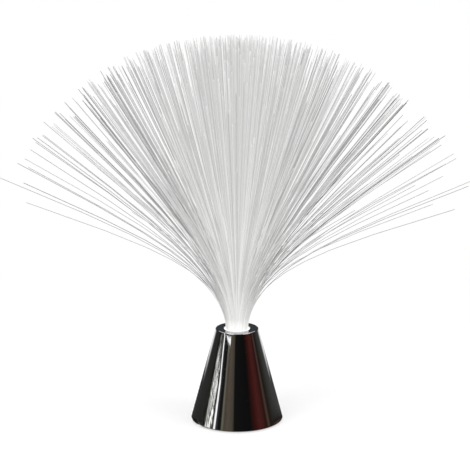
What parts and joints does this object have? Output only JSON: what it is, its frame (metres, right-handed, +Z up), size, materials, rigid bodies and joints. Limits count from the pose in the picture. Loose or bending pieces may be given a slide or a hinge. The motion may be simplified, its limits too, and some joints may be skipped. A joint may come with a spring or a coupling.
{
  "type": "fiber optic lamp",
  "caption": "Battery table lamp: a wide spray of thin light-guiding plastic fibres stands in a tapered dark-chrome base with a slide switch and battery door underneath.",
  "frame": {"origin": "on the table under the feet, on the axis of the tapered base", "axes": "+Z up along the base's axis; -Y is the side of the slide switch under the base; the battery cells lie along X"},
  "size_m": [0.4143, 0.39, 0.3313],
  "materials": {
    "mirror_plating": "vacuum-plated mirror-dark chrome over moulded plastic",
    "black_plastic": "moulded black plastic, satin",
    "white_plastic": "moulded white plastic",
    "milky_plastic": "milky translucent plastic that glows from the light below",
    "clear_fibre": "clear polymer light fibre, polished",
    "foot_rubber": "dark rubber pad",
    "zinc_screw": "zinc-plated steel screw",
    "nickel_strip": "nickel-plated spring strip and wire",
    "switch_can": "tinned steel can",
    "cell_jacket": "plain metallic sleeve",
    "circuit_board": "green circuit board",
    "red_insulation": "red wire insulation",
    "black_insulation": "black wire insulation"
  },
  "bodies": {
    "base": {"base_shell": "mirror_plating", "base_plate": "black_plastic", "foot_pad_1": "foot_rubber", "foot_pad_2": "foot_rubber", "foot_pad_3": "foot_rubber", "foot_pad_4": "foot_rubber", "plate_screw_1": "zinc_screw", "plate_screw_2": "zinc_screw", "plate_screw_3": "zinc_screw", "plate_screw_4": "zinc_screw", "battery_cell_1": "cell_jacket", "battery_cell_2": "cell_jacket", "battery_cell_3": "cell_jacket", "contact_plus": "nickel_strip", "contact_minus": "nickel_strip", "contact_bridge_front": "nickel_strip", "contact_bridge_rear": "nickel_strip", "battery_spring_1": "nickel_strip", "battery_spring_2": "nickel_strip", "battery_spring_3": "nickel_strip", "switch_body": "switch_can", "socket_tube": "black_plastic", "led_board": "circuit_board", "board_screw_1": "zinc_screw", "board_screw_2": "zinc_screw", "rgb_led": "milky_plastic", "led_reflector": "white_plastic", "wire_plus": "red_insulation", "wire_switched": "red_insulation", "wire_minus": "black_insulation"},
    "slider": {"switch_knob": "white_plastic"},
    "door": {"battery_door": "black_plastic", "door_screw_1": "zinc_screw", "door_screw_2": "zinc_screw"},
    "spray": {"ferrule": "milky_plastic", "fibre_sector_1": "clear_fibre", "fibre_sector_2": "clear_fibre", "fibre_sector_3": "clear_fibre", "fibre_sector_4": "clear_fibre", "fibre_sector_5": "clear_fibre", "fibre_sector_6": "clear_fibre"}
  },
  "joints": [
    {"name": "switch_slide", "type": "slide", "parent": "base", "child": "slider", "axis": [-1, 0, 0], "range_m": [0, 0.003]},
    {"name": "door_lift_off", "type": "slide", "parent": "base", "child": "door", "axis": [0, 0, -1], "range_m": [0, 0.02]},
    {"name": "spray_lift", "type": "slide", "parent": "base", "child": "spray", "axis": [0, 0, 1], "range_m": [0, 0.035]}
  ]
}
